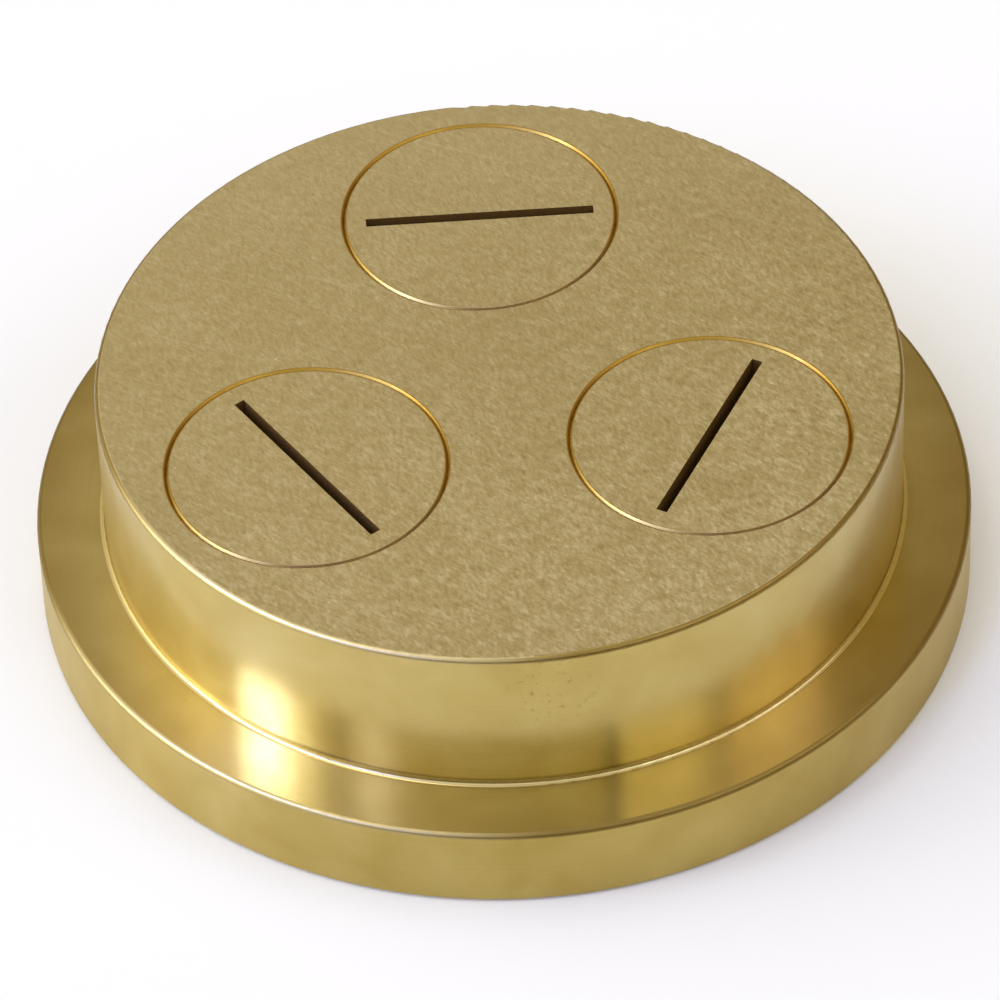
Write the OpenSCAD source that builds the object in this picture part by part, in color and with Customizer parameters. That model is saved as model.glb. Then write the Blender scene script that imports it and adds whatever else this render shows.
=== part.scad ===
// Pasta extrusion die: a turned brass disc with a raised body and a seating flange.
// Three round inserts are pressed in from behind, each cut by one slot for a ribbon of dough.
// Lengths are in millimetres. The inlet side rests on z = 0 and the outlet face looks along +Z.

/* [Die body] */
// Outer diameter of the raised body
body_d = 57; // [54:0.5:62]
// How far the seating flange stands out beyond the body
flange_w = 4.9; // [3:0.1:9]
// Height of the flange, from the inlet side to its front shoulder
flange_h = 6.6; // [5:0.2:9]
// Overall height, from the inlet side to the outlet face
die_h = 18.7; // [16:0.1:26]
// Radius on the front edge of the body and on the front edge of the flange
edge_round = 0.4; // [0.1:0.05:0.8]
// Chamfer on the back edge of the flange
back_chamfer = 0.3; // [0.1:0.05:0.8]
// Radius left by the tool in the corner between the body and the flange
corner_fillet = 0.4; // [0.1:0.05:1]

/* [Inlet recess] */
// Depth of the round recess that spreads the dough behind the inserts
recess_depth = 4.6; // [4.2:0.1:6]
// Gap between the collars of the inserts and the wall of the recess
recess_margin = 0.5; // [0.5:0.1:1.5]
// Chamfer on the mouth of the recess
recess_chamfer = 0.3; // [0.1:0.05:0.8]

/* [Inserts] */
// Wall of an insert between its round pocket and the outside of its nose
nose_wall = 1.4; // [1:0.05:2]
// Wall left between the nose of an insert and the outside of the body
rim_wall = 2.45; // [1.8:0.05:4]
// How far the collar at the back of an insert stands out beyond its nose
collar_step = 1; // [0.6:0.1:1.2]
// Height of the collar, which seats in the counterbore from behind
collar_h = 2.1; // [1.5:0.1:3]
// Chamfer on the nose and on the mouth of its bore, which together show as a fine ring
ring_chamfer = 0.14; // [0.06:0.01:0.3]

/* [Slots] */
// Length of a slot, which is the width of the ribbon
slot_l = 16.4; // [10:0.2:17.2]
// Width of a slot, which is the thickness of the ribbon
slot_w = 0.8; // [0.4:0.1:1.6]
// Depth of the straight land that ends in the slot
land_h = 2; // [1:0.1:3.5]
// Depth of the tapered lead, which narrows from the pocket to the land
lead_h = 1.2; // [0.6:0.1:2.5]
// Width of the lead where it leaves the pocket
lead_w = 3.2; // [1.8:0.1:3.6]
// How far the round pocket behind the lead reaches past each end of the slot
pocket_margin = 0.2; // [0.2:0.05:0.6]

/* [Hidden] */
// Every piece, each a node of its own
// Segments round a full circle
$fn = 128;
// Play all round between an insert and its bore
fit_play = 0.02;
// How far a cut runs past the surface that it opens
overrun = 1;
// Number of inserts, spread evenly round the axis, the first one on +Y
insert_count = 3;
first_angle = 90;
// How far each insert was turned out of square when it was pressed in, in degrees
set_turns = [-1.4, 1.6, 0];
// Colours of the turned body and of the inserts
body_colour = [0.72, 0.62, 0.33];
insert_colour = [0.66, 0.57, 0.36];

body_r = body_d / 2;
flange_r = body_r + flange_w;
pocket_r = slot_l / 2 + pocket_margin;
nose_r = pocket_r + nose_wall;
collar_r = nose_r + collar_step;
insert_pitch_r = body_r - rim_wall - nose_r;
insert_h = die_h - recess_depth;
recess_r = insert_pitch_r + collar_r + fit_play + recess_margin;
lead_z = insert_h - land_h - lead_h;

// What a convex edge of the given radius loses, with its sharp corner at the origin
module edge_waste(radius) {
    translate([-radius, -radius]) difference() {
        square(radius + overrun);
        circle(radius);
    }
}

// What a concave corner of the given radius keeps, with its sharp corner at the origin
module corner_web(radius) {
    difference() {
        square(radius);
        translate([radius, radius]) circle(radius);
    }
}

// Half section of the turned blank: raised body, flange, broken edges and tool corner
module blank_section() {
    difference() {
        union() {
            square([body_r, die_h]);
            square([flange_r, flange_h]);
            translate([body_r, flange_h]) corner_web(corner_fillet);
        }
        translate([body_r, die_h]) edge_waste(edge_round);
        translate([flange_r, flange_h]) edge_waste(edge_round);
        polygon([
            [flange_r - back_chamfer, 0],
            [flange_r - back_chamfer - overrun, -overrun],
            [flange_r + overrun, -overrun],
            [flange_r + overrun, back_chamfer + overrun]
        ]);
    }
}

// Half section of the inlet recess, with its chamfered mouth
module recess_section() {
    polygon([
        [0, -overrun],
        [recess_r + recess_chamfer + overrun, -overrun],
        [recess_r, recess_chamfer],
        [recess_r, recess_depth],
        [0, recess_depth]
    ]);
}

// Half section of the stepped hole for one insert, from the recess floor upwards
module bore_section() {
    bore_r = nose_r + fit_play;
    polygon([
        [0, -overrun],
        [collar_r + fit_play, -overrun],
        [collar_r + fit_play, collar_h],
        [bore_r, collar_h],
        [bore_r, insert_h - ring_chamfer],
        [bore_r + ring_chamfer + overrun, insert_h + overrun],
        [0, insert_h + overrun]
    ]);
}

// Half section of one insert: collar behind, nose with a chamfered edge in front
module insert_section() {
    polygon([
        [0, 0],
        [collar_r, 0],
        [collar_r, collar_h],
        [nose_r, collar_h],
        [nose_r, insert_h - ring_chamfer],
        [nose_r - ring_chamfer, insert_h],
        [0, insert_h]
    ]);
}

// Section of the lead and the slot, seen along the slot, from the pocket upwards
module slot_section() {
    half_lead = lead_w / 2;
    half_slot = slot_w / 2;
    polygon([
        [-half_lead, -overrun],
        [half_lead, -overrun],
        [half_lead, 0],
        [half_slot, lead_h],
        [half_slot, lead_h + land_h + overrun],
        [-half_slot, lead_h + land_h + overrun],
        [-half_slot, lead_h],
        [-half_lead, 0]
    ]);
}

// The way of the dough through one insert: round pocket, narrowing lead, then the slot
module dough_way() {
    translate([0, 0, -overrun]) cylinder(h = lead_z + overrun, r = pocket_r);
    translate([0, slot_l / 2, lead_z]) rotate([90, 0, 0]) linear_extrude(slot_l) slot_section();
}

// Puts one insert, or the tool that cuts its hole, at its place in the body
module at_insert(index) {
    rotate(first_angle + index * 360 / insert_count)
        translate([insert_pitch_r, 0, recess_depth])
            children();
}

// The turned body with its inlet recess and the stepped holes for the inserts
module die_body() {
    color(body_colour) difference() {
        rotate_extrude() difference() {
            blank_section();
            recess_section();
        }
        for (index = [0 : insert_count - 1])
            at_insert(index) rotate_extrude() bore_section();
    }
}

// One slotted insert, seated on its collar and turned as it was set
module slotted_insert(index) {
    color(insert_colour) at_insert(index) rotate(set_turns[index]) difference() {
        rotate_extrude() insert_section();
        dough_way();
    }
}

module slotted_insert_1() { slotted_insert(0); }
module slotted_insert_2() { slotted_insert(1); }
module slotted_insert_3() { slotted_insert(2); }

die_body();
slotted_insert_1();
slotted_insert_2();
slotted_insert_3();
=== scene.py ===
"""Dresses, lights and frames the pasta extrusion die.

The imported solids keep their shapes. This script gives each of them its brass finish, lays a pale
floor, hangs the studio lights and sets the camera at the photograph's viewing angle.
Lengths are in metres unless a name says millimetres.
"""
import logging
import math
from dataclasses import dataclass
from enum import Enum
from typing import Optional, Sequence, Union

import bpy
from mathutils import Matrix, Vector

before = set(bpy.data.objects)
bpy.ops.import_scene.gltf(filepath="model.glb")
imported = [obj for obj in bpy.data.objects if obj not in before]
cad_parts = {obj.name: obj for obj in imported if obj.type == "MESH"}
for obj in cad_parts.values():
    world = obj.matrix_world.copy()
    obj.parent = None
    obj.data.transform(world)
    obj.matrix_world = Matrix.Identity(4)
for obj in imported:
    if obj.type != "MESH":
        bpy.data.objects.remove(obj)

logging.basicConfig(level=logging.INFO, format="%(name)s: %(message)s")
log = logging.getLogger("die")

Colour = tuple[float, float, float]
Socket = bpy.types.NodeSocket
Feed = Union[Socket, float, Sequence[float]]

PHOTO_SIDE_PX = 1000
MM_PER_M = 1000.0
NOISE_MEAN = 0.5


class Grooves(Enum):
    """Which way the tool travelled as it left its fine grooves."""

    UP_THE_WALL = "height"
    ACROSS_THE_FLAT = "radius"


@dataclass(frozen=True)
class Stop:
    """One stop of a colour ramp."""

    place: float
    colour: Colour


@dataclass(frozen=True)
class Grain:
    """One noise: how it is stretched, how fine it is and how much detail it has."""

    stretch: Optional[tuple[float, float, float]] = None
    scale: float = 1.0
    detail: float = 3.0
    roughness: float = 0.6
    distortion: float = 0.0


@dataclass(frozen=True)
class Span:
    """A range of values, and the range that it is carried over to."""

    low: float
    high: float
    to_low: float = 0.0
    to_high: float = 1.0


class NodeGraph:
    """Builds one node tree, a call for each node."""

    def __init__(self, tree: bpy.types.NodeTree) -> None:
        """Starts from an empty tree.

        Args:
            tree: the node tree of a material or a world.
        """
        self.tree = tree
        tree.nodes.clear()

    def add(self, kind: str, **settings: object) -> bpy.types.Node:
        """Adds a node and sets its properties.

        Args:
            kind: the node's type name, without the ShaderNode in front.
            **settings: properties of the node and their values.

        Returns:
            The new node.
        """
        node = self.tree.nodes.new("ShaderNode" + kind)
        for name, value in settings.items():
            setattr(node, name, value)
        return node

    def feed(self, socket: Socket, value: Feed) -> None:
        """Links another node's output to a socket, or sets the socket's own value.

        Args:
            socket: the input to fill.
            value: an output socket, a number, or a colour or vector.
        """
        if isinstance(value, bpy.types.NodeSocket):
            self.tree.links.new(value, socket)
        elif isinstance(value, (int, float)):
            socket.default_value = value
        else:
            spare = len(socket.default_value) - len(value)
            socket.default_value = tuple(value) + (1.0,) * spare

    def math(self, operation: str, *values: Feed, clamp: bool = False) -> Socket:
        """Returns the output of a Math node fed with the values."""
        node = self.add("Math", operation=operation, use_clamp=clamp)
        for socket, value in zip(node.inputs, values):
            self.feed(socket, value)
        return node.outputs[0]

    def vector(self, operation: str, *values: Feed) -> Socket:
        """Returns the vector output of a Vector Math node fed with the values."""
        node = self.add("VectorMath", operation=operation)
        for socket, value in zip(node.inputs, values):
            self.feed(socket, value)
        return node.outputs[0]

    def scaled(self, vector: Socket, factors: Sequence[float]) -> Socket:
        """Returns the vector with each of its parts multiplied."""
        return self.vector("MULTIPLY", vector, factors)

    def length(self, vector: Socket) -> Socket:
        """Returns the length of a vector."""
        node = self.add("VectorMath", operation="LENGTH")
        self.feed(node.inputs[0], vector)
        return node.outputs["Value"]

    def parts(self, vector: Socket) -> tuple[Socket, Socket, Socket]:
        """Returns the three parts of a vector."""
        node = self.add("SeparateXYZ")
        self.feed(node.inputs[0], vector)
        return node.outputs[0], node.outputs[1], node.outputs[2]

    def joined(self, across: Feed, along: Feed, up: Feed) -> Socket:
        """Returns a vector made of three numbers."""
        node = self.add("CombineXYZ")
        for socket, value in zip(node.inputs, (across, along, up)):
            self.feed(socket, value)
        return node.outputs[0]

    def turned(self, vector: Socket, degrees: float) -> Socket:
        """Returns the vector turned about Z.

        Args:
            vector: what is turned.
            degrees: the turn, counter-clockwise from above.

        Returns:
            The turned vector.
        """
        node = self.add("VectorRotate", rotation_type="Z_AXIS")
        self.feed(node.inputs["Vector"], vector)
        node.inputs["Angle"].default_value = math.radians(degrees)
        return node.outputs[0]

    def noise(self, vector: Socket, grain: Grain) -> Socket:
        """Returns the grey output of a three-dimensional Noise Texture."""
        if grain.stretch is not None:
            vector = self.scaled(vector, grain.stretch)
        node = self.add("TexNoise", noise_dimensions="3D", normalize=True)
        self.feed(node.inputs["Vector"], vector)
        node.inputs["Scale"].default_value = grain.scale
        node.inputs["Detail"].default_value = grain.detail
        node.inputs["Roughness"].default_value = grain.roughness
        node.inputs["Distortion"].default_value = grain.distortion
        return node.outputs[0]

    def line_noise(self, along: Socket, grain: Grain) -> Socket:
        """Returns a Noise Texture that varies along one length only."""
        node = self.add("TexNoise", noise_dimensions="1D", normalize=True)
        self.feed(node.inputs["W"], along)
        node.inputs["Scale"].default_value = grain.scale
        node.inputs["Detail"].default_value = grain.detail
        node.inputs["Roughness"].default_value = grain.roughness
        return node.outputs[0]

    def carry(self, value: Socket, span: Span, smooth: bool = True) -> Socket:
        """Returns the value carried over a span, and held inside it."""
        return self.fit(value, span.low, span.high, span.to_low, span.to_high, smooth)

    def fit(self, value: Socket, low: float, high: float, to_low: float = 0.0,
            to_high: float = 1.0, smooth: bool = True) -> Socket:
        """Carries a value from one range to another, and holds it inside that.

        Args:
            value: what is carried over.
            low: the value that becomes to_low.
            high: the value that becomes to_high.
            to_low: one end of the new range.
            to_high: the other end of the new range.
            smooth: eases in and out in place of a straight line.

        Returns:
            The value in the new range.
        """
        node = self.add("MapRange", interpolation_type="SMOOTHSTEP" if smooth else "LINEAR")
        node.clamp = True
        self.feed(node.inputs["Value"], value)
        for name, number in (("From Min", low), ("From Max", high),
                             ("To Min", to_low), ("To Max", to_high)):
            node.inputs[name].default_value = number
        return node.outputs[0]

    def mix(self, factor: Feed, low: Feed, high: Feed) -> Socket:
        """Returns two colours mixed by a factor."""
        node = self.add("Mix", data_type="RGBA", blend_type="MIX")
        node.clamp_factor = True
        self.feed(node.inputs[0], factor)
        self.feed(node.inputs[6], low)
        self.feed(node.inputs[7], high)
        return node.outputs[2]

    def pick(self, factor: Feed, first: Feed, second: Feed) -> Socket:
        """Returns the first vector where the factor is 0 and the second where it is 1."""
        node = self.add("Mix", data_type="VECTOR")
        self.feed(node.inputs[0], factor)
        self.feed(node.inputs[4], first)
        self.feed(node.inputs[5], second)
        return node.outputs[1]

    def ramp(self, factor: Socket, stops: Sequence[Stop]) -> Socket:
        """Returns a colour ramp's colour for the factor."""
        node = self.add("ValToRGB")
        points = node.color_ramp.elements
        while len(points) > 1:
            points.remove(points[-1])
        points[0].position, points[0].color = stops[0].place, (*stops[0].colour, 1.0)
        for stop in stops[1:]:
            points.new(stop.place).color = (*stop.colour, 1.0)
        self.feed(node.inputs[0], factor)
        return node.outputs[0]

    def bump(self, height: Socket, depth_mm: float, strength: float = 1.0,
             normal: Optional[Socket] = None) -> Socket:
        """Returns a normal bumped by a height.

        Args:
            height: the height, where 1 stands for depth_mm.
            depth_mm: how deep the relief is, in millimetres.
            strength: how much of the relief shows.
            normal: a normal that is already bumped.

        Returns:
            The new normal.
        """
        node = self.add("Bump")
        node.inputs["Strength"].default_value = strength
        node.inputs["Distance"].default_value = depth_mm / MM_PER_M
        self.feed(node.inputs["Height"], height)
        if normal is not None:
            self.feed(node.inputs["Normal"], normal)
        return node.outputs[0]

    def between(self, factor: Feed, first: Socket, second: Socket) -> Socket:
        """Returns two shaders mixed by a factor."""
        node = self.add("MixShader")
        self.feed(node.inputs[0], factor)
        self.feed(node.inputs[1], first)
        self.feed(node.inputs[2], second)
        return node.outputs[0]


@dataclass(frozen=True)
class DieSizes:
    """The sizes of the die that its finishes follow, in millimetres."""

    face_z: float = 18.7
    flange_z: float = 6.6
    body_r: float = 28.5
    flange_r: float = 33.4
    edge_round: float = 0.4
    corner_fillet: float = 0.4
    back_chamfer: float = 0.3
    recess_r: float = 27.57
    lead_z: float = 15.5
    nose_r: float = 9.8
    insert_pitch_r: float = 16.25
    insert_angles: tuple[float, float, float] = (90.0, 210.0, 330.0)


@dataclass(frozen=True)
class Blends:
    """How far from its own surface each finish starts and ends, in millimetres."""

    least_rise: float = 0.0001
    shell: float = 0.05
    edge_start: float = 0.02
    edge_end: float = 0.5
    edge_soft: float = 0.12
    corner_start: float = 0.2
    corner_end: float = 0.04
    corner_soft: float = 0.10
    rim_start: float = 0.15
    rim_full: float = 0.02
    shoulder_reach: float = 0.12
    shoulder_soft: float = 0.08
    shoulder_start: float = 0.25
    shoulder_full: float = 0.38
    inlet_top: float = 0.30
    inlet_full: float = 0.05
    recess_start: float = 0.4
    recess_full: float = 0.2
    below_face: float = 0.5
    well_below_face: float = 0.8
    face_start: float = 0.03
    face_full: float = 0.005
    slot_start: float = 0.1


@dataclass(frozen=True)
class SeamShape:
    """The rings round the inserts, in millimetres, and the part where their dark colour is faded out
    as painted light.
    """

    half_play: float = 0.01
    outer: float = 0.26
    full: float = 0.16
    low: float = 0.25
    high: float = 0.20
    painted_fade_bearing: float = 24.0
    painted_fade_from_share: float = 0.60
    painted_fade_to_share: float = 0.90
    painted_fade_left: float = 0.12


class TurnedProfile:
    """Where a point lies on the turned die: how far out, how high, and which way it faces."""

    def __init__(self, graph: NodeGraph, sizes: DieSizes) -> None:
        """Finds the point's place.

        Args:
            graph: the material's node graph.
            sizes: the sizes of the die.
        """
        self.graph, self.sizes = graph, sizes
        self.blends, self.seams = Blends(), SeamShape()
        place = graph.add("TexCoord")
        self.spot = graph.scaled(place.outputs["Object"], (MM_PER_M, MM_PER_M, MM_PER_M))
        across, along, self.height = graph.parts(self.spot)
        self.level = graph.joined(across, along, 0.0)
        self.radius = graph.length(self.level)
        self.outward = graph.vector("NORMALIZE", self.level)

    def within(self, value: Socket, low: float, high: float, soft: float) -> Socket:
        """Returns 1 between two bounds and 0 outside them, with soft ends that lie inside."""
        return self.graph.math("MULTIPLY", self.graph.fit(value, low, low + soft),
                               self.graph.fit(value, high, high - soft))

    def rounded(self, centre_r: float, centre_z: float, side: float) -> Socket:
        """Returns the normal of a rounded edge and of the two surfaces that it joins.

        Args:
            centre_r: how far the centre of the rounding lies from the axis.
            centre_z: how high the centre of the rounding lies.
            side: 1 for an outer edge, -1 for an inner corner.
        """
        graph = self.graph
        out = graph.math("MULTIPLY", graph.math("SUBTRACT", self.radius, centre_r), side)
        rise = graph.math("MULTIPLY", graph.math("SUBTRACT", self.height, centre_z), side)
        out = graph.math("MAXIMUM", out, 0.0)
        rise = graph.math("MAXIMUM", rise, self.blends.least_rise)
        sideways = graph.vector("MULTIPLY", self.outward, graph.joined(out, out, out))
        return graph.vector("NORMALIZE",
                            graph.vector("ADD", sideways, graph.joined(0.0, 0.0, rise)))

    def normal(self) -> Socket:
        """Returns the exact normal of the outside, and the mesh's own normal elsewhere."""
        graph, s, shell = self.graph, self.sizes, self.blends.shell
        edge, corner = s.edge_round, s.corner_fillet
        normal = self.rounded(s.body_r - edge, s.face_z - edge, 1.0)
        beyond = graph.math("GREATER_THAN", self.radius, s.body_r + corner)
        normal = graph.pick(beyond, normal,
                            self.rounded(s.flange_r - edge, s.flange_z - edge, 1.0))
        nook = graph.math("MULTIPLY", graph.math("LESS_THAN", self.radius, s.body_r + corner),
                          graph.math("LESS_THAN", self.height, s.flange_z + corner))
        normal = graph.pick(nook, normal,
                            self.rounded(s.body_r + corner, s.flange_z + corner, -1.0))
        turn = graph.add("VectorTransform", vector_type="NORMAL", convert_from="OBJECT",
                         convert_to="WORLD")
        graph.feed(turn.inputs[0], normal)
        outside = graph.math("MULTIPLY",
                             graph.math("GREATER_THAN", self.radius, s.body_r - edge - shell),
                             graph.math("GREATER_THAN", self.height, s.back_chamfer + shell))
        shape = graph.add("NewGeometry")
        return graph.pick(outside, shape.outputs["Normal"], turn.outputs[0])

    def towards(self, vector: Socket, bearing: float) -> Socket:
        """Returns how far a level vector points to a bearing, where 0 degrees is the front."""
        angle = math.radians(bearing)
        product = self.graph.add("VectorMath", operation="DOT_PRODUCT")
        self.graph.feed(product.inputs[0], vector)
        self.graph.feed(product.inputs[1], (math.sin(angle), -math.cos(angle), 0.0))
        return product.outputs["Value"]

    def edge(self, radius: float, height: float) -> Socket:
        """Returns 1 on the rounded edge that a wall and a flat surface would meet in."""
        size, b = self.sizes.edge_round, self.blends
        return self.graph.math(
            "MULTIPLY",
            self.within(self.radius, radius - size - b.edge_start, radius + b.edge_end,
                        b.edge_soft),
            self.within(self.height, height - size - b.edge_start, height + b.edge_end,
                        b.edge_soft))

    def corner(self) -> Socket:
        """Returns 1 in the inner corner between the body and the flange."""
        s, b = self.sizes, self.blends
        return self.graph.math(
            "MULTIPLY",
            self.within(self.radius, s.body_r - b.corner_start,
                        s.body_r + s.corner_fillet + b.corner_end, b.corner_soft),
            self.within(self.height, s.flange_z - b.corner_start,
                        s.flange_z + s.corner_fillet + b.corner_end, b.corner_soft))

    def rim(self) -> Socket:
        """Returns 1 on the outer wall of the flange."""
        s, b = self.sizes, self.blends
        return self.graph.fit(self.radius, s.flange_r - b.rim_start, s.flange_r - b.rim_full)

    def shoulder(self) -> Socket:
        """Returns 1 on the flat front of the flange."""
        s, b = self.sizes, self.blends
        return self.graph.math(
            "MULTIPLY",
            self.within(self.height, s.flange_z - b.shoulder_reach,
                        s.flange_z + b.shoulder_reach, b.shoulder_soft),
            self.graph.fit(self.radius, s.body_r + b.shoulder_start,
                           s.body_r + b.shoulder_full))

    def inside(self) -> Socket:
        """Returns 1 on the inlet side and in the recess behind the inserts."""
        graph, s, b = self.graph, self.sizes, self.blends
        recess = graph.math(
            "MULTIPLY",
            graph.fit(self.radius, s.recess_r + b.recess_start, s.recess_r + b.recess_full),
            graph.fit(self.height, s.face_z - b.below_face, s.face_z - b.well_below_face))
        return graph.math("MAXIMUM", graph.fit(self.height, b.inlet_top, b.inlet_full), recess)

    def face(self) -> Socket:
        """Returns 1 on the outlet face."""
        s, b = self.sizes, self.blends
        return self.graph.fit(self.height, s.face_z - b.face_start, s.face_z - b.face_full)

    def slot(self) -> Socket:
        """Returns 1 from the lead of a slot upwards."""
        s = self.sizes
        return self.graph.fit(self.height, s.lead_z - self.blends.slot_start, s.lead_z)

    def seam(self) -> tuple[Socket, Socket]:
        """Finds the chamfers that ring each insert.

        Returns:
            1 on the rings, less where their dark colour is faded out as painted light, and 1 on the
            inserts' side of them.
        """
        graph, s, seams = self.graph, self.sizes, self.seams
        middle_r = s.nose_r + seams.half_play
        rings: list[Socket] = []
        inner: list[Socket] = []
        for angle in s.insert_angles:
            centre = (s.insert_pitch_r * math.cos(math.radians(angle)),
                      s.insert_pitch_r * math.sin(math.radians(angle)), 0.0)
            offset = graph.vector("SUBTRACT", self.level, centre)
            away = graph.length(offset)
            off = graph.math("ABSOLUTE", graph.math("SUBTRACT", away, middle_r))
            # Painted light: each ring's dark colour is faded out on the side towards the fade
            # bearing.
            painted_fade = graph.fit(self.towards(offset, seams.painted_fade_bearing),
                               seams.painted_fade_from_share * s.nose_r,
                               seams.painted_fade_to_share * s.nose_r, 1.0, seams.painted_fade_left)
            rings.append(graph.math("MULTIPLY", graph.fit(off, seams.outer, seams.full), painted_fade))
            inner.append(graph.math("LESS_THAN", away, middle_r))
        ring = graph.math("MAXIMUM", graph.math("MAXIMUM", rings[0], rings[1]), rings[2])
        inside = graph.math("ADD", graph.math("ADD", inner[0], inner[1]), inner[2])
        return graph.math("MULTIPLY", ring,
                          graph.fit(self.height, s.face_z - seams.low,
                                    s.face_z - seams.high)), inside


@dataclass(frozen=True)
class LappedBrass:
    """Brass rubbed flat on fine abrasive: satin, with short scratches mostly one way.

    Angles and bearings are in degrees, and reaches over the face in millimetres.
    """

    deep: Colour = (0.40, 0.32, 0.145)
    plain: Colour = (0.495, 0.41, 0.205)
    pale: Colour = (0.63, 0.55, 0.325)
    # Glint: a painted highlight colour, laid on the flecks and the strokes.
    glint: Colour = (0.78, 0.70, 0.49)
    roughness: float = 0.42
    roughness_play: float = 0.30
    relief_mm: float = 0.012
    crossing_relief: float = 0.7
    lapping_angle: float = -42.0
    crossing_turn: float = 34.0
    stroke_angle: float = -26.0
    scratches: Grain = Grain((1.3, 5.0, 5.0), roughness=0.62)
    crossings: Grain = Grain((1.5, 3.8, 3.8), roughness=0.62)
    flecks: Grain = Grain((1.3, 2.7, 2.7))
    blotches: Grain = Grain(scale=0.95, distortion=0.3)
    clouds: Grain = Grain(scale=0.10, detail=2.0, roughness=0.5)
    strokes: Grain = Grain((0.05, 3.6, 3.6), detail=2.0, roughness=0.5)
    scratch_share: float = 0.34
    crossing_share: float = 0.26
    blotch_share: float = 0.28
    cloud_share: float = 0.12
    tones: Span = Span(0.37, 0.63)
    worked_bearing: float = 37.0
    worked: Span = Span(-17.0, 18.0, 0.55, 1.15)
    crowding: Span = Span(0.35, 0.65, 0.69, 0.63)
    sparkle: Span = Span(0.0, 0.11, 0.0, 0.62)
    darker_middle: Span = Span(2.0, 15.0, 0.16, 0.0)
    # Painted light: the face is painted paler towards the back.
    back_bearing: float = 180.0
    paler_back: Span = Span(6.0, 26.0, 0.0, 0.16)
    # Strokes: real long scratches, painted in the glint colour as a painted highlight, shown only
    # towards the left-back.
    stroke_strength: Span = Span(0.60, 0.72, 0.0, 0.13)
    stroke_bearing: float = -140.0
    stroke_reach: Span = Span(-2.0, 14.0)

    def shader(self, graph: NodeGraph, profile: TurnedProfile) -> Socket:
        """Builds the finish.

        Args:
            graph: the material's node graph.
            profile: the point's place on the die.

        Returns:
            The shader's output.
        """
        spot = profile.spot
        along = graph.turned(spot, -self.lapping_angle)
        drift = graph.turned(spot, -self.lapping_angle + self.crossing_turn)
        scratch = graph.noise(along, self.scratches)
        crossing = graph.noise(drift, self.crossings)
        worked = graph.carry(profile.towards(profile.level, self.worked_bearing), self.worked,
                             smooth=False)
        colour = self.colour(graph, profile, (along, scratch, crossing, worked))

        roughness = graph.math("MULTIPLY_ADD", graph.math("SUBTRACT", crossing, NOISE_MEAN),
                               self.roughness_play, self.roughness)
        height = graph.math("MULTIPLY_ADD", crossing, self.crossing_relief, scratch)
        normal = graph.bump(height, self.relief_mm, 1.0, profile.normal())

        brass = graph.add("BsdfPrincipled")
        graph.feed(brass.inputs["Base Color"], colour)
        graph.feed(brass.inputs["Roughness"], roughness)
        graph.feed(brass.inputs["Normal"], normal)
        brass.inputs["Metallic"].default_value = 1.0
        return brass.outputs[0]

    def colour(self, graph: NodeGraph, profile: TurnedProfile,
               marks: tuple[Socket, Socket, Socket, Socket]) -> Socket:
        """Builds the colour.

        Args:
            graph: the material's node graph.
            profile: the point's place on the die.
            marks: the place along the lapping, the scratches, those that cross them, and how
                strongly the abrasive worked.

        Returns:
            The colour's output.
        """
        along, scratch, crossing, worked = marks
        fleck = graph.noise(along, self.flecks)
        blotch = graph.noise(profile.spot, self.blotches)
        cloud = graph.noise(profile.spot, self.clouds)

        tone = graph.math("MULTIPLY_ADD", scratch, self.scratch_share,
                          graph.math("MULTIPLY", crossing, self.crossing_share))
        tone = graph.math("MULTIPLY_ADD", blotch, self.blotch_share, tone)
        tone = graph.math("MULTIPLY_ADD", cloud, self.cloud_share, tone)
        tone = graph.math("MULTIPLY_ADD", graph.math("SUBTRACT", tone, NOISE_MEAN), worked,
                          NOISE_MEAN)
        colour = graph.ramp(graph.carry(tone, self.tones, smooth=False),
                            (Stop(0.0, self.deep), Stop(0.5, self.plain), Stop(1.0, self.pale)))
        # Painted highlight: the flecks are painted in the glint colour where the fleck noise rises
        # above the clouds.
        spark = graph.math("SUBTRACT", fleck, graph.carry(cloud, self.crowding))
        glinting = graph.math("MULTIPLY", graph.carry(spark, self.sparkle), worked)
        colour = graph.mix(glinting, colour, self.glint)
        colour = graph.mix(graph.carry(profile.radius, self.darker_middle), colour, self.deep)
        # Painted light: the face is painted paler towards the back.
        backwards = profile.towards(profile.level, self.back_bearing)
        colour = graph.mix(graph.carry(backwards, self.paler_back), colour, self.pale)
        # Painted highlight: long scratch strokes are painted in the glint colour, only towards the
        # left-back.
        stroke = graph.noise(graph.turned(profile.spot, -self.stroke_angle), self.strokes)
        reach = profile.towards(profile.level, self.stroke_bearing)
        shown = graph.math("MULTIPLY", graph.carry(stroke, self.stroke_strength),
                           graph.carry(reach, self.stroke_reach))
        return graph.mix(shown, colour, self.glint)


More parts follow.
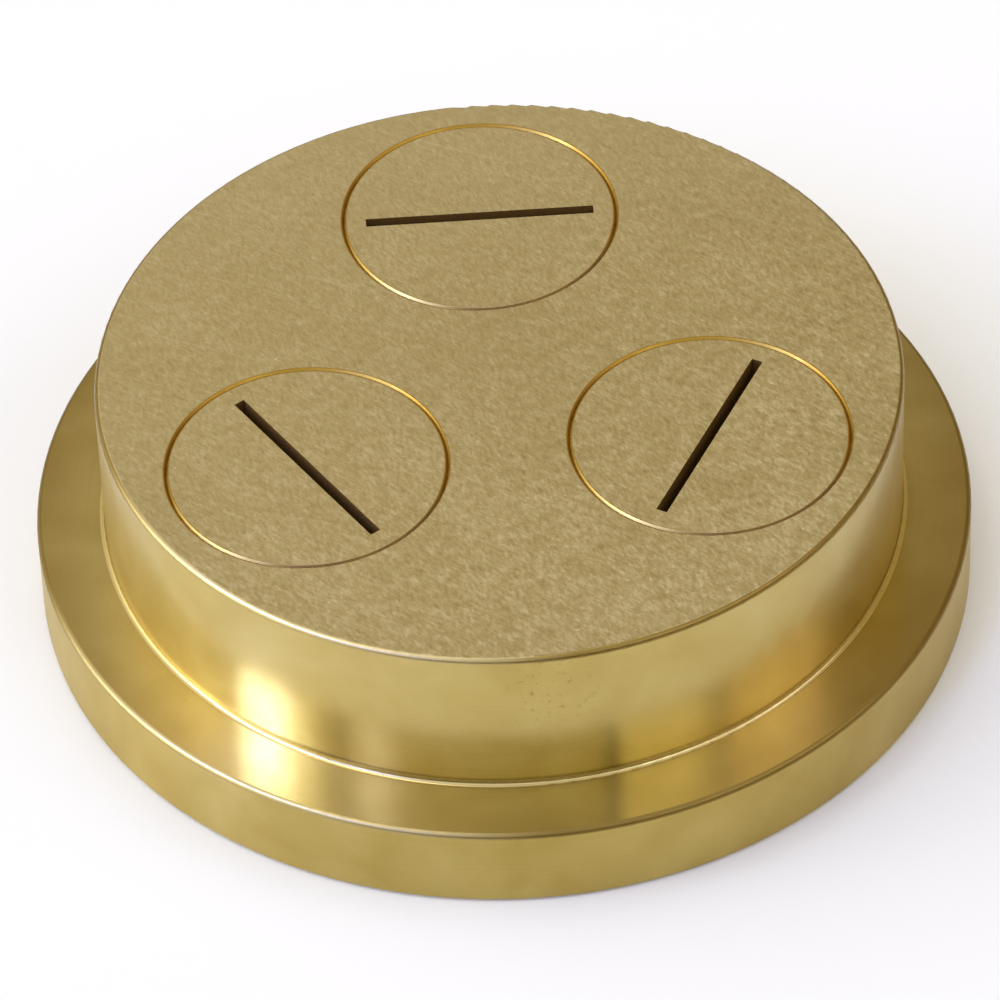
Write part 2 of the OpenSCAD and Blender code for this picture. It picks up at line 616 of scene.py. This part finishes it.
@dataclass(frozen=True)
class TurnedBrass:
    """Brass turned and polished on a lathe: glossy along the grooves, drawn out across them."""

    deep: Colour = (0.52, 0.392, 0.120)
    plain: Colour = (0.58, 0.452, 0.153)
    pale: Colour = (0.64, 0.515, 0.205)
    # Colour of the painted shade and of the tarnish.
    shade_and_tarnish_colour: Colour = (0.26, 0.175, 0.045)
    roughness: float = 0.145
    anisotropy: float = 1.0
    haze: float = 0.34
    haze_roughness: float = 0.33
    haze_anisotropy: float = 1.0
    grooves: Grooves = Grooves.UP_THE_WALL
    groove_mm: float = 0.0006
    groove_scale: float = 7.0
    groove_detail: float = 4.0
    groove_share: float = 0.25
    patches: Grain = Grain(scale=0.16, roughness=0.5, distortion=0.4)
    patch_share: float = 0.75
    tones: Span = Span(0.32, 0.68)
    smears: Grain = Grain((1.0, 1.0, 0.28), 0.9, roughness=0.55)
    smear_play: float = 0.08
    quarter_turn: float = 0.25

    def shader(self, graph: NodeGraph, profile: TurnedProfile,
               shade_and_tarnish: Optional[Socket] = None) -> Socket:
        """Builds the finish.

        Args:
            graph: the material's node graph.
            profile: the point's place on the die.
            shade_and_tarnish: how far the colour is darkened towards the shade and tarnish colour, by
                painted shade and by tarnish, from 0 to 1.

        Returns:
            The shader's output.
        """
        flat = self.grooves is Grooves.ACROSS_THE_FLAT
        groove = graph.line_noise(profile.radius if flat else profile.height,
                                  Grain(scale=self.groove_scale, detail=self.groove_detail))
        patch = graph.noise(profile.spot, self.patches)
        smear = graph.noise(profile.spot, self.smears)

        tone = graph.math("MULTIPLY_ADD", groove, self.groove_share,
                          graph.math("MULTIPLY", patch, self.patch_share))
        colour = graph.ramp(graph.carry(tone, self.tones, smooth=False),
                            (Stop(0.0, self.deep), Stop(0.5, self.plain), Stop(1.0, self.pale)))
        if shade_and_tarnish is not None:
            colour = graph.mix(shade_and_tarnish, colour, self.shade_and_tarnish_colour)
        roughness = graph.math("MULTIPLY_ADD", graph.math("SUBTRACT", smear, NOISE_MEAN),
                               self.smear_play, self.roughness)
        normal = graph.bump(groove, self.groove_mm, 1.0, profile.normal())

        polished = self.lobe(graph, colour, roughness, normal, self.anisotropy)
        drawn_out = self.lobe(graph, colour, self.haze_roughness, normal, self.haze_anisotropy)
        return graph.between(self.haze, polished, drawn_out)

    def lobe(self, graph: NodeGraph, colour: Socket, roughness: Feed, normal: Socket,
             anisotropy: float) -> Socket:
        """Builds one reflecting lobe, drawn out across the grooves.

        Args:
            graph: the material's node graph.
            colour: the brass's colour.
            roughness: how wide the lobe is.
            normal: the bumped normal.
            anisotropy: how far the lobe is drawn out.

        Returns:
            The shader's output.
        """
        brass = graph.add("BsdfPrincipled")
        graph.feed(brass.inputs["Base Color"], colour)
        graph.feed(brass.inputs["Roughness"], roughness)
        graph.feed(brass.inputs["Normal"], normal)
        brass.inputs["Metallic"].default_value = 1.0
        brass.inputs["Anisotropic"].default_value = anisotropy
        brass.inputs["Anisotropic Rotation"].default_value = self.quarter_turn
        tangent = graph.add("Tangent", direction_type="RADIAL", axis="Z")
        graph.feed(brass.inputs["Tangent"], tangent.outputs[0])
        return brass.outputs[0]


@dataclass(frozen=True)
class WornBrass:
    """Brass of the broken edges and corners: an even satin, without a direction, painted darker away
    from a lit bearing where one is given, as painted shade.
    """

    colour: Colour
    roughness: float
    wear: float = 0.35
    metallic: float = 1.0
    lit_bearing: Optional[float] = None
    painted_lit: Span = Span(0.93, 0.74)
    painted_shade: Colour = (0.50, 0.43, 0.26)
    worn: Grain = Grain(scale=1.6)
    worn_low: float = 0.35
    worn_high: float = 0.65
    worn_share: float = 0.6
    roughness_low: float = 0.3
    roughness_high: float = 0.7
    roughness_play: float = 0.06

    def shader(self, graph: NodeGraph, profile: TurnedProfile) -> Socket:
        """Builds the finish, painted darker away from the lit bearing where one is given: painted
        shade, with the lit side left bright.

        Args:
            graph: the material's node graph.
            profile: the point's place on the die.

        Returns:
            The shader's output.
        """
        wear = graph.noise(profile.spot, self.worn)
        colour = graph.mix(graph.fit(wear, self.worn_low, self.worn_high, 0.0, self.wear),
                           self.colour, tuple(part * self.worn_share for part in self.colour))
        if self.lit_bearing is not None:
            # Painted shade: away from the lit bearing the edge's colour is darkened by the painted
            # shade share.
            facing = profile.towards(profile.outward, self.lit_bearing)
            painted_shade = tuple(part * share for part, share in zip(self.colour, self.painted_shade))
            colour = graph.mix(graph.carry(facing, self.painted_lit), colour, painted_shade)
        brass = graph.add("BsdfPrincipled")
        graph.feed(brass.inputs["Base Color"], colour)
        graph.feed(brass.inputs["Roughness"],
                   graph.fit(wear, self.roughness_low, self.roughness_high,
                             self.roughness - self.roughness_play,
                             self.roughness + self.roughness_play))
        graph.feed(brass.inputs["Normal"], profile.normal())
        brass.inputs["Metallic"].default_value = self.metallic
        return brass.outputs[0]


@dataclass(frozen=True)
class SeamBrass:
    """The fine chamfers round each insert: browned with oxide, and painted bright where they face the
    key light, a painted highlight.
    """

    browned: Colour = (0.37, 0.225, 0.035)
    painted_lit: Colour = (0.44, 0.33, 0.10)
    lit_bearing: float = -40.0
    lit_facing: Span = Span(0.52, 0.70)
    stains: Grain = Grain(scale=0.8)
    highlight_share: Span = Span(0.35, 0.55, 0.5, 1.0)
    roughness: float = 0.32
    stained_roughness: float = 0.12
    stain_low: float = 0.3
    stain_high: float = 0.7

    def shader(self, graph: NodeGraph, profile: TurnedProfile, inner: Socket) -> Socket:
        """Builds the finish.

        Args:
            graph: the material's node graph.
            profile: the point's place on the die.
            inner: 1 on the inserts' side of a ring, where the painted highlight may go.

        Returns:
            The shader's output.
        """
        shape = graph.add("VectorTransform", vector_type="NORMAL", convert_from="WORLD",
                          convert_to="OBJECT")
        graph.feed(shape.inputs[0], graph.add("NewGeometry").outputs["Normal"])
        # Painted highlight: chamfers that face the key light are painted in the bright brass colour,
        # broken up by the stains.
        facing = profile.towards(shape.outputs[0], self.lit_bearing)
        stain = graph.noise(profile.spot, self.stains)
        highlight = graph.math("MULTIPLY", graph.carry(facing, self.lit_facing),
                           graph.math("MULTIPLY", graph.carry(stain, self.highlight_share), inner))
        brass = graph.add("BsdfPrincipled")
        graph.feed(brass.inputs["Base Color"], graph.mix(highlight, self.browned, self.painted_lit))
        graph.feed(brass.inputs["Roughness"],
                   graph.fit(stain, self.stain_low, self.stain_high, self.roughness,
                             self.roughness + self.stained_roughness))
        brass.inputs["Metallic"].default_value = 1.0
        return brass.outputs[0]


class BrassMaterial:
    """A material whose finish changes from surface to surface of the turned die."""

    def __init__(self, name: str, sizes: DieSizes) -> None:
        """Starts an empty node material.

        Args:
            name: the material's name.
            sizes: the sizes of the die.
        """
        self.material = bpy.data.materials.new(name)
        self.material.use_nodes = True
        self.graph = NodeGraph(self.material.node_tree)
        self.profile = TurnedProfile(self.graph, sizes)

    def finish(self, shader: Socket) -> bpy.types.Material:
        """Ends the tree in the material's output.

        Args:
            shader: the shader that the surface shows.

        Returns:
            The material.
        """
        output = self.graph.add("OutputMaterial")
        self.graph.feed(output.inputs["Surface"], shader)
        return self.material


@dataclass(frozen=True)
class ShadeAndTarnish:
    """Where the brass is darkened: painted shade above the inner corner, tarnish spots, and a darker
    outer shoulder. Heights and reaches are in millimetres.
    """

    low_shade_height: float = 2.2
    low_shade: float = 0.07
    crease_shade_height: float = 0.34
    crease_shade: float = 0.75
    bearing: float = -5.0
    shade_spread: Span = Span(0.80, 0.93)
    specks: Grain = Grain(scale=1.9, detail=2.0)
    speck_strength: Span = Span(0.60, 0.66, 0.0, 0.45)
    speck_across: float = 1.0
    speck_height: float = 15.4
    speck_reach: Span = Span(4.5, 1.0)
    fading: float = 0.28
    fading_start: float = 0.8
    fading_end: float = 0.2

    def on_wall(self, profile: TurnedProfile) -> Socket:
        """Returns how far the wall is darkened: painted shade along the inner corner above the
        fillet, towards the front, and tarnish in a few spots.
        """
        graph, s = profile.graph, profile.sizes
        foot = s.flange_z + s.corner_fillet
        # Painted shade: darker just above the inner corner fillet, towards the front.
        corner_shade = graph.math(
            "MAXIMUM",
            graph.fit(profile.height, foot + self.low_shade_height, foot, 0.0, self.low_shade),
            graph.fit(profile.height, foot + self.crease_shade_height, foot, 0.0, self.crease_shade))
        corner_shade = graph.math("MULTIPLY", corner_shade, graph.carry(
            profile.towards(profile.outward, self.bearing), self.shade_spread))
        speck = graph.noise(profile.spot, self.specks)
        away = graph.length(graph.vector(
            "SUBTRACT", profile.spot, (self.speck_across, -s.body_r, self.speck_height)))
        spots = graph.math("MULTIPLY", graph.carry(speck, self.speck_strength),
                           graph.carry(away, self.speck_reach))
        return graph.math("MAXIMUM", corner_shade, spots)

    def on_shoulder(self, profile: TurnedProfile) -> Socket:
        """Returns how far the shoulder is darkened, more towards its outer edge."""
        s = profile.sizes
        return profile.graph.fit(profile.radius, s.body_r + self.fading_start,
                                 s.flange_r - self.fading_end, 0.0, self.fading)


@dataclass
class DieBody:
    """The turned body: lapped face, polished wall and shoulder, satin rim, machined inlet."""

    node: str = "die_body"
    sizes: DieSizes = DieSizes()
    lapped: LappedBrass = LappedBrass()
    chamfer: SeamBrass = SeamBrass()
    wall: TurnedBrass = TurnedBrass()
    shoulder: TurnedBrass = TurnedBrass(deep=(0.53, 0.43, 0.17), plain=(0.58, 0.48, 0.205),
                                        pale=(0.64, 0.54, 0.25),
                                        grooves=Grooves.ACROSS_THE_FLAT)
    # The rim's colours are darker copies of the wall's brass: painted shade of the low rim.
    rim: TurnedBrass = TurnedBrass(deep=(0.45, 0.325, 0.08), plain=(0.50, 0.375, 0.107),
                                   pale=(0.56, 0.43, 0.142), roughness=0.34, anisotropy=0.8,
                                   haze=0.38)
    inlet: TurnedBrass = TurnedBrass(roughness=0.40, anisotropy=0.5,
                                     grooves=Grooves.ACROSS_THE_FLAT, groove_mm=0.004,
                                     groove_scale=3.0)
    # The broken edges are painted darker away from the key light's side: painted shade.
    top_edge: WornBrass = WornBrass((0.52, 0.42, 0.19), 0.34, 0.2, lit_bearing=-36.0)
    rim_edge: WornBrass = WornBrass((0.46, 0.37, 0.16), 0.36, 0.2, lit_bearing=-40.0)
    corner: WornBrass = WornBrass((0.58, 0.47, 0.21), 0.20, 0.12)
    shade_and_tarnish: ShadeAndTarnish = ShadeAndTarnish()

    def material(self) -> bpy.types.Material:
        """Builds the body's material from the finishes of its surfaces."""
        made = BrassMaterial("turned_brass", self.sizes)
        graph, profile, s = made.graph, made.profile, self.sizes
        # The wall's colour carries painted shade above the corner fillet, and tarnish spots.
        shader = self.wall.shader(graph, profile, self.shade_and_tarnish.on_wall(profile))
        shader = graph.between(profile.rim(), shader, self.rim.shader(graph, profile))
        shader = graph.between(
            profile.shoulder(), shader,
            self.shoulder.shader(graph, profile, self.shade_and_tarnish.on_shoulder(profile)))
        shader = graph.between(profile.edge(s.flange_r, s.flange_z), shader,
                               self.rim_edge.shader(graph, profile))
        shader = graph.between(profile.corner(), shader, self.corner.shader(graph, profile))
        shader = graph.between(profile.inside(), shader, self.inlet.shader(graph, profile))
        shader = graph.between(profile.edge(s.body_r, s.face_z), shader,
                               self.top_edge.shader(graph, profile))
        shader = graph.between(profile.face(), shader, self.lapped.shader(graph, profile))
        ring, inner = profile.seam()
        shader = graph.between(ring, shader, self.chamfer.shader(graph, profile, inner))
        return made.finish(shader)

    def dress(self, nodes: dict[str, bpy.types.Object]) -> None:
        """Gives the body its material."""
        put_on(nodes[self.node], self.material())


@dataclass
class SlottedInserts:
    """The three inserts: lapped with the face in front, turned sides, and slot walls behind painted
    dark brown as painted shade.
    """

    names: tuple[str, ...] = ("slotted_insert_1", "slotted_insert_2", "slotted_insert_3")
    sizes: DieSizes = DieSizes()
    lapped: LappedBrass = LappedBrass()
    chamfer: SeamBrass = SeamBrass()
    # Slot walls painted dark brown and barely metallic: painted shade of the deep slots.
    slot_shade: WornBrass = WornBrass((0.15, 0.078, 0.012), 0.60, 0.4, metallic=0.15)
    machined: TurnedBrass = TurnedBrass(roughness=0.40, anisotropy=0.0, haze_anisotropy=0.0,
                                        groove_mm=0.004, groove_scale=3.0)

    def material(self) -> bpy.types.Material:
        """Builds the inserts' material."""
        made = BrassMaterial("insert_brass", self.sizes)
        graph, profile = made.graph, made.profile
        shader = graph.between(profile.slot(), self.machined.shader(graph, profile),
                               self.slot_shade.shader(graph, profile))
        shader = graph.between(profile.face(), shader, self.lapped.shader(graph, profile))
        ring, inner = profile.seam()
        shader = graph.between(ring, shader, self.chamfer.shader(graph, profile, inner))
        return made.finish(shader)

    def dress(self, nodes: dict[str, bpy.types.Object]) -> None:
        """Gives each insert the same material."""
        material = self.material()
        for name in self.names:
            put_on(nodes[name], material)


def put_on(piece: bpy.types.Object, material: bpy.types.Material) -> None:
    """Makes a material the only one of a piece.

    Args:
        piece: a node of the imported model, whose mesh stays as it is.
        material: the finish that it gets.
    """
    piece.data.materials.clear()
    piece.data.materials.append(material)
    log.info("%s is dressed in %s", piece.name, material.name)


@dataclass(frozen=True)
class SoftBox:
    """One rectangular studio light, aimed at the die. It lights the brass, and not the floor."""

    name: str
    bearing: float
    elevation: float
    distance: float
    width: float
    height: float
    power: float
    colour: Colour = (1.0, 1.0, 1.0)

    def hang(self, target: Vector) -> None:
        """Puts the light in its place.

        Args:
            target: the point that it faces.
        """
        data = bpy.data.lights.new(self.name, "AREA")
        data.shape = "RECTANGLE"
        data.size, data.size_y = self.width, self.height
        data.energy = self.power
        data.color = self.colour
        light = bpy.data.objects.new(self.name, data)
        bpy.context.scene.collection.objects.link(light)
        round_z, high = math.radians(self.bearing), math.radians(self.elevation)
        away = Vector((math.sin(round_z) * math.cos(high), -math.cos(round_z) * math.cos(high),
                       math.sin(high)))
        light.location = target + away * self.distance
        light.rotation_mode = "QUATERNION"
        light.rotation_quaternion = away.to_track_quat("Z", "Y")
        light.visible_camera = False
        light.visible_diffuse = False


@dataclass(frozen=True)
class SkyRing:
    """One ring of the soft light that surrounds the die.

    The place of a stop is a compass bearing in degrees: 0 is in front of the die, and the bearings
    grow towards the photograph's right. The first and the last stop meet behind the die.
    """

    stops: tuple[Stop, ...]

    def colour(self, graph: NodeGraph, turn: Socket, full: float) -> Socket:
        """Builds the ring's colour.

        Args:
            graph: the world's node graph.
            turn: the bearing, as 0 to 1 from behind the die round to behind it again.
            full: the brightness that a ramp colour of 1 stands for.

        Returns:
            The ring's colour for the bearing, divided by the full brightness.
        """
        stops = [Stop(stop.place / 360 + 0.5, tuple(part / full for part in stop.colour))
                 for stop in self.stops]
        return graph.ramp(turn, stops)


@dataclass
class Studio:
    """A pale floor under soft light."""

    floor_side: float = 6.0
    floor_colour: Colour = (0.84, 0.872, 0.915)
    floor_roughness: float = 0.9
    floor_specular: float = 0.1
    backdrop: Colour = (0.90, 0.90, 0.89)
    sky_full: float = 9.0
    low_ring: SkyRing = SkyRing((
        Stop(-180.0, (0.8, 0.75, 0.6)), Stop(-140.0, (0.7, 0.65, 0.42)),
        Stop(-126.0, (1.4, 1.3, 0.95)), Stop(-98.0, (3.4, 3.2, 2.6)), Stop(-91.0, (5.8, 5.6, 5.2)),
        Stop(-82.5, (6.0, 5.8, 5.4)), Stop(-80.0, (2.6, 2.4, 1.8)),
        Stop(-62.0, (2.3, 2.1, 1.6)), Stop(-54.0, (1.2, 1.0, 0.5)), Stop(-28.0, (0.2, 0.16, 0.05)),
        Stop(18.0, (0.25, 0.17, 0.05)), Stop(52.0, (0.5, 0.35, 0.12)), Stop(88.0, (0.52, 0.37, 0.14)),
        Stop(137.0, (0.5, 0.4, 0.18)), Stop(180.0, (0.8, 0.75, 0.6))))
    middle_ring: SkyRing = SkyRing((
        Stop(-180.0, (0.52, 0.42, 0.26)), Stop(-162.0, (0.92, 0.82, 0.68)),
        Stop(-130.0, (1.25, 1.15, 1.0)), Stop(-100.0, (1.3, 1.3, 1.2)), Stop(-90.0, (1.2, 1.2, 1.2)),
        Stop(-88.0, (2.0, 2.15, 2.5)), Stop(-63.5, (1.7, 1.9, 2.4)), Stop(-60.0, (0.08, 0.08, 0.09)),
        Stop(-50.5, (0.08, 0.08, 0.09)), Stop(-48.5, (2.6, 3.2, 9.0)),
        Stop(-41.5, (2.4, 2.9, 8.5)), Stop(-35.5, (1.15, 1.16, 1.3)),
        Stop(20.0, (1.08, 1.10, 0.95)), Stop(23.0, (1.3, 1.3, 1.0)), Stop(23.6, (0.05, 0.05, 0.03)),
        Stop(27.2, (0.05, 0.05, 0.03)), Stop(27.8, (2.3, 2.4, 2.5)), Stop(55.2, (2.0, 1.95, 2.0)),
        Stop(55.8, (0.06, 0.05, 0.03)), Stop(59.8, (0.06, 0.05, 0.03)), Stop(60.4, (1.7, 1.55, 1.5)),
        Stop(78.0, (2.1, 1.95, 2.1)), Stop(95.0, (1.9, 1.65, 1.7)),
        Stop(97.5, (0.48, 0.36, 0.14)), Stop(147.0, (0.54, 0.41, 0.16)),
        Stop(168.0, (0.30, 0.22, 0.12)), Stop(180.0, (0.52, 0.42, 0.26))))
    high_ring: SkyRing = SkyRing((
        Stop(-180.0, (1.5, 1.4, 1.25)), Stop(-114.0, (1.5, 1.4, 1.3)), Stop(-102.0, (3.2, 3.1, 3.0)),
        Stop(-64.0, (3.2, 3.1, 3.0)), Stop(-52.0, (1.1, 1.0, 0.95)), Stop(0.0, (0.75, 0.7, 0.65)),
        Stop(36.0, (0.85, 0.8, 0.75)), Stop(108.0, (1.05, 1.0, 1.0)), Stop(180.0, (1.5, 1.4, 1.25))))
    top: Colour = (1.0, 1.15, 1.6)
    middle_heights: Span = Span(24.0, 38.0)
    high_heights: Span = Span(50.0, 62.0)
    top_heights: Span = Span(78.0, 88.0)
    target: tuple[float, float, float] = (0.0, 0.0, 0.01)
    boxes: tuple[SoftBox, ...] = (
        SoftBox("key_core", -77.4, 43.0, 0.90, 0.160, 0.20, 2.6, (0.30, 0.415, 1.35)),
        SoftBox("key_body", -73.9, 43.0, 0.91, 0.270, 0.24, 1.2, (0.30, 0.405, 1.25)),
        SoftBox("key_skirt", -70.4, 42.0, 0.92, 0.375, 0.28, 0.9, (0.34, 0.43, 1.15)),
    )

    def lay_floor(self) -> None:
        """Lays the floor."""
        bpy.ops.object.select_all(action="DESELECT")
        bpy.ops.mesh.primitive_plane_add(size=self.floor_side, location=(0.0, 0.0, 0.0))
        floor = bpy.context.active_object
        floor.name = "studio_floor"
        material = bpy.data.materials.new("pale_floor")
        material.use_nodes = True
        graph = NodeGraph(material.node_tree)
        paint = graph.add("BsdfPrincipled")
        graph.feed(paint.inputs["Base Color"], self.floor_colour)
        paint.inputs["Roughness"].default_value = self.floor_roughness
        paint.inputs["Specular IOR Level"].default_value = self.floor_specular
        output = graph.add("OutputMaterial")
        graph.feed(output.inputs["Surface"], paint.outputs[0])
        floor.data.materials.append(material)

    def light(self) -> None:
        """Fills the world with soft light that changes with bearing and height, and hangs the soft
        boxes.
        """
        world = bpy.data.worlds.new("studio")
        world.use_nodes = True
        bpy.context.scene.world = world
        graph = NodeGraph(world.node_tree)
        sky = graph.add("Background")
        graph.feed(sky.inputs["Color"], self.sky_colour(graph))
        sky.inputs["Strength"].default_value = self.sky_full
        plain = graph.add("Background")
        graph.feed(plain.inputs["Color"], self.backdrop)
        path = graph.add("LightPath")
        shown = graph.between(path.outputs["Is Camera Ray"], sky.outputs[0], plain.outputs[0])
        output = graph.add("OutputWorld")
        graph.feed(output.inputs["Surface"], shown)
        for box in self.boxes:
            box.hang(Vector(self.target))
        scene = bpy.context.scene
        scene.view_settings.view_transform = "Standard"
        scene.view_settings.look = "None"

    def sky_colour(self, graph: NodeGraph) -> Socket:
        """Builds the colour of the light that comes from each way, from the rings up to the top."""
        place = graph.add("TexCoord")
        parts = graph.add("SeparateXYZ")
        graph.feed(parts.inputs[0], graph.vector("NORMALIZE", place.outputs["Generated"]))
        bearing = graph.math("ARCTAN2", parts.outputs[0],
                             graph.math("MULTIPLY", parts.outputs[1], -1.0))
        turn = graph.math("MULTIPLY_ADD", bearing, 0.5 / math.pi, 0.5)
        elevation = graph.math("MULTIPLY", graph.math("ARCSINE", parts.outputs[2]), 180 / math.pi)

        colour = graph.mix(graph.carry(elevation, self.middle_heights),
                           self.low_ring.colour(graph, turn, self.sky_full),
                           self.middle_ring.colour(graph, turn, self.sky_full))
        colour = graph.mix(graph.carry(elevation, self.high_heights), colour,
                           self.high_ring.colour(graph, turn, self.sky_full))
        top = tuple(part / self.sky_full for part in self.top)
        return graph.mix(graph.carry(elevation, self.top_heights), colour, top)

    def build(self) -> None:
        """Builds the whole studio."""
        self.lay_floor()
        self.light()
        log.info("studio has %d soft boxes", len(self.boxes))


@dataclass(frozen=True)
class PhotoCamera:
    """The camera, where the photograph was taken from."""

    elevation: float = 44.2585
    azimuth: float = 3.293
    roll: float = 2.2347
    distance: float = 0.50981
    focal_px: float = 7156.44
    pivot_height: float = 0.00935
    pivot_px: tuple[float, float] = (502.408, 465.809)
    sensor_mm: float = 36.0
    nearest: float = 0.01
    farthest: float = 20.0

    def place(self) -> None:
        """Adds the camera, turned so that the pivot falls on its place in the picture."""
        high, round_z = math.radians(self.elevation), math.radians(self.azimuth)
        tilt = math.radians(self.roll)
        pivot = Vector((0.0, 0.0, self.pivot_height))
        away = Vector((-math.sin(round_z) * math.cos(high), -math.cos(round_z) * math.cos(high),
                       math.sin(high)))
        level = Vector((math.cos(round_z), -math.sin(round_z), 0.0))
        upright = away.cross(level)
        right = level * math.cos(tilt) - upright * math.sin(tilt)
        above = level * math.sin(tilt) + upright * math.cos(tilt)
        centre = PHOTO_SIDE_PX / 2
        step = self.distance / self.focal_px
        aim = (pivot - right * (self.pivot_px[0] - centre) * step
               - above * (centre - self.pivot_px[1]) * step)
        eye = pivot + away * self.distance
        ahead = (aim - eye).normalized()
        right = ahead.cross(above).normalized()
        above = right.cross(ahead)

        data = bpy.data.cameras.new("photo_camera")
        data.sensor_fit = "HORIZONTAL"
        data.sensor_width = self.sensor_mm
        data.lens = self.focal_px * self.sensor_mm / PHOTO_SIDE_PX
        data.clip_start, data.clip_end = self.nearest, self.farthest
        camera = bpy.data.objects.new("photo_camera", data)
        bpy.context.scene.collection.objects.link(camera)
        camera.location = eye
        camera.rotation_mode = "QUATERNION"
        turn = Matrix((right, above, -ahead)).transposed()
        camera.rotation_quaternion = turn.to_quaternion()
        bpy.context.scene.camera = camera


def main() -> None:
    """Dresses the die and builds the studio."""
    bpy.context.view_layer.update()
    PhotoCamera().place()
    Studio().build()
    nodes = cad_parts
    DieBody().dress(nodes)
    SlottedInserts().dress(nodes)
    bpy.context.view_layer.update()


if __name__ == "__main__":
    main()
